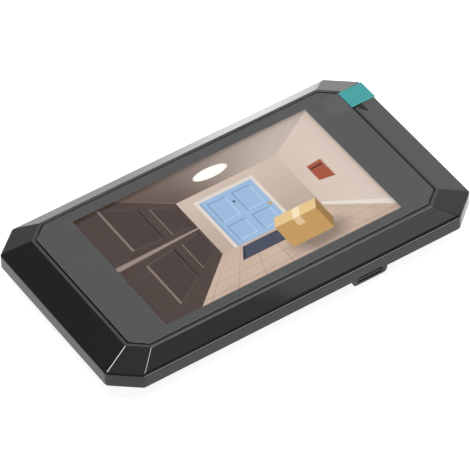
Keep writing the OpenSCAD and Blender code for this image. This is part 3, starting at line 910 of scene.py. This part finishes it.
# %% Turn out the screws
# Each group has its solids, its name, its solid heads' radius and height, and the sizes for the tree.
screw_groups = [
    ("case_screws", "cover_screws", 1.9, 1.3, (1.88, 1.28, 1.0, 8.15, 2.2, 0.75)),
    ("board_screws", "circuit_screws", 1.6, 1.0, (1.58, 0.98, 0.9, 5.15, 1.8, 0.6)),
]
for node, name, seat_r, seat_h, sizes in screw_groups:
    low, high = extent(node)
    corner_x, corner_y = (low.x + seat_r, high.x - seat_r), (low.y + seat_r, high.y - seat_r)
    seats = [(x, y, low.z + seat_h) for x in corner_x for y in corner_y]
    screws = grown(name, seats, screw, dict(zip(screw_sizes, sizes)), zinc)
    stand_for(screws, node, zinc)

# %% [markdown]
# ## Side keys
# Three keys stand a little out of the top wall. Their caps are satin, so that a finger feels the
# difference from the gloss around them. A narrow bevel on a copy of each solid takes the sharpness off.

# %% Soften and dress the keys
satin_colours = (0.016, 0.016, 0.017), (0.030, 0.030, 0.031)
satin, put, place = mottled("satin_black", (400.0, 3.0), satin_colours, (0.30, 0.14), 1.5)
put(Normal=bump(place, noise(place, 3200.0), 0.2, 0.00002))


def softened(piece, width, steps=2):
    """Bevels the sharp edges of a solid's copy, width in millimetres."""
    bevel = piece.modifiers.new("bevel", "BEVEL")
    bevel.width = width * mm
    bevel.segments = steps
    bevel.limit_method = "ANGLE"
    bevel.angle_limit = math.radians(40)
    settle(piece)
    shade(piece, 40)
    return piece


keys = ("power", "up", "down")
for key in keys:
    cap = softened(merged_copy(key + "_key", key + "_cap"), 0.18)
    stand_for(cap, key + "_key", satin, body=key + "_key")

# %% [markdown]
# ## Memory card and its socket
# Only the end of the card shows, as a pale bar in the slot. Its plastic is charcoal, and the end face
# below the chamfer is painted pale grey, painted light that makes it look lit. Its eight contacts face
# the socket's floor. The end's upper half is chamfered, which takes a cut through a copy of the solid.

# %% Colour the card
card, put, place = finish("card_plastic", IOR=1.5)
x, y, z = axes(place)
flow = noise(stretched(place, 300, 80, 300), 1.0, 3.0)
grip_z = 7.76
end = step(y, card_low.y + 0.7, card_low.y + 0.3) * step(z, grip_z + 0.05, grip_z - 0.05)
pad_count, pad_pitch, pad_edge = 8, 1.1, 0.7
pad_x = x - card_low.x - pad_edge
pads = band(y, card_high.y - 4.4, card_high.y - 1.6, 0.06) * band(pad_x / pad_pitch, 0, pad_count, 0.02)
pads = pads * step(z, card_low.z + 0.06, card_low.z + 0.01)
pads = pads * band(repeat(pad_x, pad_pitch), 0.12, 0.88, 0.03)
body = mix(flow, (0.018, 0.018, 0.019), (0.030, 0.030, 0.032))
# Painted light: the end face below the chamfer, where the mask end is 1, is painted pale grey so that it
# looks lit.
body = mix(end, body, (0.19, 0.19, 0.195))
put(Base_Color=mix(pads, body, (0.75, 0.52, 0.20)))
put(Metallic=pads)
put(Roughness=0.42 + flow * 0.15 - pads * 0.2)
print("contacts on the card:", pad_count)

# %% Chamfer the card's end, and dress its socket
card_copy = merged_copy("memory_card", "card")
shape = bmesh.new()
shape.from_mesh(card_copy.data)
whole = shape.verts[:] + shape.edges[:] + shape.faces[:]
bmesh.ops.bisect_plane(shape, geom=whole, plane_co=(0, 0, grip_z * mm), plane_no=(0, 0, 1))
for point in shape.verts:
    if point.co.y < (card_low.y + 0.1) * mm:
        point.co.y += max(point.co.z - grip_z * mm, 0)
shape.to_mesh(card_copy.data)
shape.free()
card_piece = softened(card_copy, 0.06)
stand_for(card_piece, "memory_card", card, body="memory_card")
spring_steel = plated("spring_steel", (0.66, 0.65, 0.62), 0.26, (60, 1400, 1400))
wear("card_socket", spring_steel)

# %% [markdown]
# ## Charging port
# The port is a drawn steel shell around a black tongue. The contacts on the tongue are the row of fine
# gold bars that one sees when looking into the port. A row is again a case for Geometry Nodes.

# %% A row of bars
row_sizes = ["Wide", "Deep", "Tall"]
row, given = tree_with("bar_row", row_sizes)
starts, material = given["Geometry"], given["Material"]
wide, deep, tall = [given[size] for size in row_sizes]
bar = starts.block(wide, deep, tall)
bar.copied_on(starts).plain(material)


def spread(middle, pitch, count):
    """Evenly spaced places about a middle."""
    return [middle + pitch * (i - (count - 1) / 2) for i in range(count)]


print("nodes in a row:", len(row.nodes))

# %% Dress the port
gold = plated("contact_gold", (0.83, 0.60, 0.22), 0.20, (400, 400, 400))
shell_steel = plated("drawn_steel", (0.70, 0.70, 0.69), 0.24, (90, 1500, 1500))
wear("usb_shell", shell_steel)
tongue_colours = (0.014, 0.014, 0.014), (0.026, 0.026, 0.026)
tongue = mottled("tongue_black", (1800.0, 2.0), tongue_colours, (0.45, 0.2), 1.5)[0]
wear("usb_tongue", tongue)
tongue_low, tongue_high = extent("usb_tongue")
bar_x, bar_out = tongue_high.x - 2.0, 0.01
bar_levels = (tongue_low.z - bar_out, tongue_high.z + bar_out)
bar_places = [(bar_x, y, level) for y in spread(0.0, 0.5, 12) for level in bar_levels]
contacts = grown("port_contacts", bar_places, row, {"Wide": 3.6, "Deep": 0.26, "Tall": 0.04}, gold)
carry(contacts)

# %% [markdown]
# ## Circuit board
# Through the cable window one sees the board's rear: green solder mask, and copper tracks under it that
# show as paler green lines. Tracks run straight and turn squarely, so two sets of bands, each switched on
# and off by coarse cells, look right without drawing a circuit.

# %% Dress the board
board, put, place = finish("solder_mask", IOR=1.5)
x, y = axes(place, "XY")
track_pitch = 0.9
track_cells = {"Vector": place, "Scale": 170.0}
patch = place.node("ShaderNodeTexVoronoi", {"distance": "CHEBYCHEV"}, track_cells, out="Color")
pick = patch.node("ShaderNodeSeparateColor", {}, {0: patch})
tracks = band(repeat(y, track_pitch), 0.30, 0.62, 0.05) * step(pick, 0.50, 0.52)
tracks = tracks + band(repeat(x, track_pitch), 0.30, 0.62, 0.05) * step(pick, 0.38, 0.36)
weave = noise(place, 900.0)
mask = mix(weave, (0.010, 0.075, 0.040), (0.014, 0.095, 0.052))
mask = mix(tracks * 0.8, mask, (0.040, 0.24, 0.12))
put(Base_Color=mask)
put(Roughness=0.30 + weave * 0.18)
put(Normal=bump(place, tracks, 0.25, 0.00003))
wear("main_board", board)

# %% Sockets, plug and plungers
nylon_colours = (0.72, 0.67, 0.55), (0.82, 0.78, 0.67)
nylon, put, place = mottled("ivory_nylon", (500.0, 3.0), nylon_colours, (0.38, 0.2), 1.53)
put(Normal=bump(place, noise(place, 2400.0, 1.0), 0.15, 0.00002))
for node in ("ribbon_socket", "panel_socket", "battery_plug"):
    piece = softened(merged_copy(node, node + "_body"), 0.15)
    stand_for(piece, node, nylon)
for key in keys:
    wear(key + "_plunger", nylon)
socket_middle = middle_of("ribbon_socket")
pin_y, pin_z = socket_middle.y + 0.7, extent("ribbon_socket")[0].z + 1.2
pin_places = [(x, pin_y, pin_z) for x in spread(socket_middle.x, 1.0, 15)]
pins = grown("ribbon_contacts", pin_places, row, {"Wide": 0.36, "Deep": 0.42, "Tall": 1.6}, gold)
carry(pins)

# %% Processor and switches
epoxy, put, place = finish("chip_epoxy", IOR=1.55)
x, y = axes(place, "XY")
chip_low, chip_high = extent("processor")
mark_in, mark_r = 1.2, 0.5
mark = disc(x, y, (chip_low.x + mark_in, chip_high.y - mark_in), mark_r, 0.05)
sand = noise(place, 2600.0)
# Painted shade: the resin's colour follows the sand noise that makes the bump, darker where the surface
# sinks.
resin = mix(sand, (0.014, 0.014, 0.015), (0.024, 0.024, 0.025))
put(Base_Color=mix(mark, resin, (0.06, 0.06, 0.06)))
put(Roughness=0.5 + sand * 0.2)
put(Normal=bump(place, sand, 0.2, 0.00002))
wear("processor", epoxy)
wear("key_switches", epoxy)

# %% [markdown]
# ## Shield
# A can of thin tinned steel stands over the processor, to keep its radio noise in, and rows of round
# holes let the heat out. Punches grown on a grid cut them from a copy of the solid, as a press would.

# %% Punch the shield
tin = plated("tin_plate", (0.56, 0.56, 0.55), 0.28, (120, 900, 120))
punch, given = tree_with("punch_row", ["Radius", "Tall"])
starts = given["Geometry"]
pin = starts.cone(given["Radius"], given["Radius"], given["Tall"])
pin.copied_on(starts).plain(given["Material"])
can_middle, can_high = middle_of("shield_can"), extent("shield_can")[1]
hole_pitch, hole_z = 3.2, can_high.z - 0.8
hole_x, hole_y = spread(can_middle.x, hole_pitch, 7), spread(can_middle.y, hole_pitch, 6)
hole_places = [(x, y, hole_z) for x in hole_x for y in hole_y]
punches = grown("punches", hole_places, punch, {"Radius": 0.55, "Tall": 1.2}, tin)
shield = merged_copy("shield_can", "shield")
cut_with(shield, punches, "DIFFERENCE")
shade(shield, 30)
stand_for(shield, "shield_can", tin)

# %% [markdown]
# ## Small parts
# A bare board would look wrong: real ones are sown with resistors and capacitors, small blocks with a
# tinned end on each side. Their places are tried on a grid, and one is kept if the board lies under the
# whole part and no other solid comes near it. A fixed seed draws the same board every time.


# %% Find room for a part
part_long, part_deep, part_tall = 2.0, 1.0, 0.5
part_clear = 0.7
roofed = [extent(node) for node in ("shield_can", "card_socket")]
board_low, board_high = extent("main_board")


def search_tree(names):
    """Finds what is nearest on the faces of some solids."""
    shape = bmesh.new()
    for name in names:
        shape.from_mesh(nodes[name].data)
    tree = BVHTree.FromBMesh(shape)
    shape.free()
    return tree


ground = search_tree(["main_board"])
crowd = search_tree([name for name in nodes if name != "main_board"])


def has_room(x, y, z, up):
    """Whether a part at a place has the board under it, on the side that up tells, and nothing near it."""
    for side in (-0.5, 0.0, 0.5):
        for end in (-0.5, 0.5):
            foot = Vector((x + side * part_long, y + end * part_deep, z))
            top = foot + Vector((0, 0, up * part_tall))
            held = ground.find_nearest(foot * mm, 0.001 * mm)[0]
            blocked = crowd.find_nearest(top * mm, part_clear * mm)[0]
            inside = [low for low, high in roofed if all(low[i] < top[i] < high[i] for i in range(3))]
            if held is None or blocked is not None or inside:
                return False
    return True


print("room beside the shield:", has_room(can_high.x + 3, can_middle.y, board_high.z, 1))

# %% Choose the places
pitch_x, pitch_y = 4.2, 2.6
column_count = int((board_high.x - board_low.x) / pitch_x)
line_count = int((board_high.y - board_low.y) / pitch_y)
end_long, sunk = 0.36, 0.01
bare_share, dark_share = 0.45, 0.75
draw = random.Random(11)
dark_places, tan_places, end_places = [], [], []
for z, up in ((board_high.z, 1), (board_low.z, -1)):
    for column in range(column_count):
        for line in range(line_count):
            x = board_low.x + (column + 0.5) * pitch_x
            y = board_low.y + (line + 0.5) * pitch_y
            chance = draw.random()
            if chance < bare_share or not has_room(x, y, z, up):
                continue
            middle = z + up * (part_tall / 2 - sunk)
            places = tan_places if chance > dark_share else dark_places
            places.append((x, y, middle))
            for side in (-0.5, 0.5):
                end_places.append((x + side * (part_long - end_long), y, middle))
print("parts on the board:", len(end_places) // 2)

# %% Solder the parts
clay_colours = (0.30, 0.19, 0.11), (0.38, 0.26, 0.16)
fired = mottled("fired_clay", (1500.0, 2.0), clay_colours, (0.4, 0.2), 1.55)[0]
body_block = {"Wide": 1.30, "Deep": 0.94, "Tall": 0.46}
end_block = {"Wide": end_long, "Deep": part_deep, "Tall": part_tall}
part_groups = [
    ("resistors", dark_places, body_block, "chip", epoxy),
    ("capacitors", tan_places, body_block, "chip", fired),
    ("soldered_ends", end_places, end_block, "steel", tin),
]
for name, places, block, slot, material in part_groups:
    carry(grown(name, places, row, block, material))

# %% [markdown]
# ## Display module
# Behind the picture lie a pale light plate with a fine dot pattern, a pressed steel tray, and an amber
# ribbon with copper tracks. None shows from outside, but each has the finish of the real thing for
# whoever takes the model apart.

# %% Light plate and tray
plate, put, place = finish("light_plate", IOR=1.49)
x, y = axes(place, "XY")
dot_pitch = 1.6
dots = disc(repeat(x, dot_pitch), repeat(y, dot_pitch), (0.5, 0.5), 0.26, 0.05)
put(Base_Color=mix(dots, (0.80, 0.82, 0.84), (0.95, 0.95, 0.94)))
put(Roughness=0.15 + dots * 0.4)
wear("light_guide", plate)
tray = plated("pressed_steel", (0.60, 0.60, 0.60), 0.32, (70, 1100, 1100))
wear("lcd_frame", tray)

# %% Ribbon and foam tape
amber, put, place = finish("amber_ribbon", IOR=1.6)
lane_pitch = 0.8
copper = band(repeat(axes(place, "Y")[0], lane_pitch), 0.25, 0.70, 0.05)
put(Base_Color=mix(copper, (0.42, 0.17, 0.025), (0.60, 0.27, 0.06)))
put(Roughness=0.28 + copper * 0.12)
put(Normal=bump(place, copper, 0.25, 0.00002))
wear("lcd_flex", amber)
foam, put, place = finish("black_foam", IOR=1.4)
pores = place.node("ShaderNodeTexVoronoi", {"feature": "F1"}, {"Vector": place, "Scale": 3400.0})
# Painted shade: the colour follows the pore cells that make the bump, darker in the pits, as shade in the
# pores.
put(Base_Color=mix(pores, (0.016, 0.016, 0.016), (0.040, 0.040, 0.040)))
put(Roughness=0.75 + pores * 0.2)
put(Normal=bump(place, pores, 0.5, 0.00006))
wear("glass_tape", foam)
wear("speaker_gasket", foam)

# %% [markdown]
# ## Battery
# The battery is a soft cell in a foil pouch: dull silver, a little wrinkled, with a strip of amber tape
# where the leads come out. Its two leads are red and black.

# %% Pouch
pouch, put, place = finish("foil_pouch", Metallic=0.85)
wrinkle = noise(stretched(place, 70, 140, 70), 1.0, 4.0)
strip_edge = extent("battery_pack")[1].x - 5.0
strip = step(axes(place, "X")[0], strip_edge - 0.1, strip_edge + 0.1)
# Painted shade: the foil's colour follows the wrinkle noise that makes the bump, darker where the wrinkles
# sink, as shade in the creases.
foil = mix(wrinkle, (0.50, 0.51, 0.53), (0.68, 0.69, 0.71))
put(Base_Color=mix(strip, foil, (0.45, 0.26, 0.05)))
put(Roughness=0.30 + wrinkle * 0.2)
put(Normal=bump(place, wrinkle, 0.35, 0.0003))
wear("battery_pack", pouch)

# %% Leads and tape
sleeve, put, place = finish("lead_sleeve", IOR=1.5)
scuff = noise(place, 800.0)
red = mix(scuff, (0.42, 0.020, 0.018), (0.55, 0.035, 0.030))
between = middle_of("battery_leads").y
black_lead = step(axes(place, "Y")[0], between + 0.1, between - 0.1)
put(Base_Color=mix(black_lead, red, (0.020, 0.020, 0.020)))
put(Roughness=0.35 + scuff * 0.15)
wear("battery_leads", sleeve)
paper_colours = (0.70, 0.69, 0.64), (0.84, 0.83, 0.79)
paper = mottled("liner_tape", (1500.0, 4.0), paper_colours, (0.6, 0.3), 1.45)[0]
wear("battery_tape", paper)

# %% [markdown]
# ## Speaker
# Behind the grille sits a small speaker: a black frame, a pressed film cone with fine ridges around its
# edge, and two sprung gold contacts that reach up to the board.

# %% Dress the speaker
cone, put, place = finish("pressed_film", IOR=1.6)
x, y = axes(place, "XY")
away = away_from(x, y, middle_of("speaker_cone"))
wave = away * 5.5
ridges = wave.math("SINE") * step(away, 6.6, 7.0)
put(Base_Color=mix(step(away, 2.6, 2.4), (0.045, 0.045, 0.048), (0.075, 0.075, 0.080)))
put(Roughness=0.28 + noise(place, 600.0) * 0.15)
put(Normal=bump(place, ridges, 0.5, 0.0001))
wear("speaker_cone", cone)
wear("speaker_frame", grain)
wear("speaker_contacts", gold)
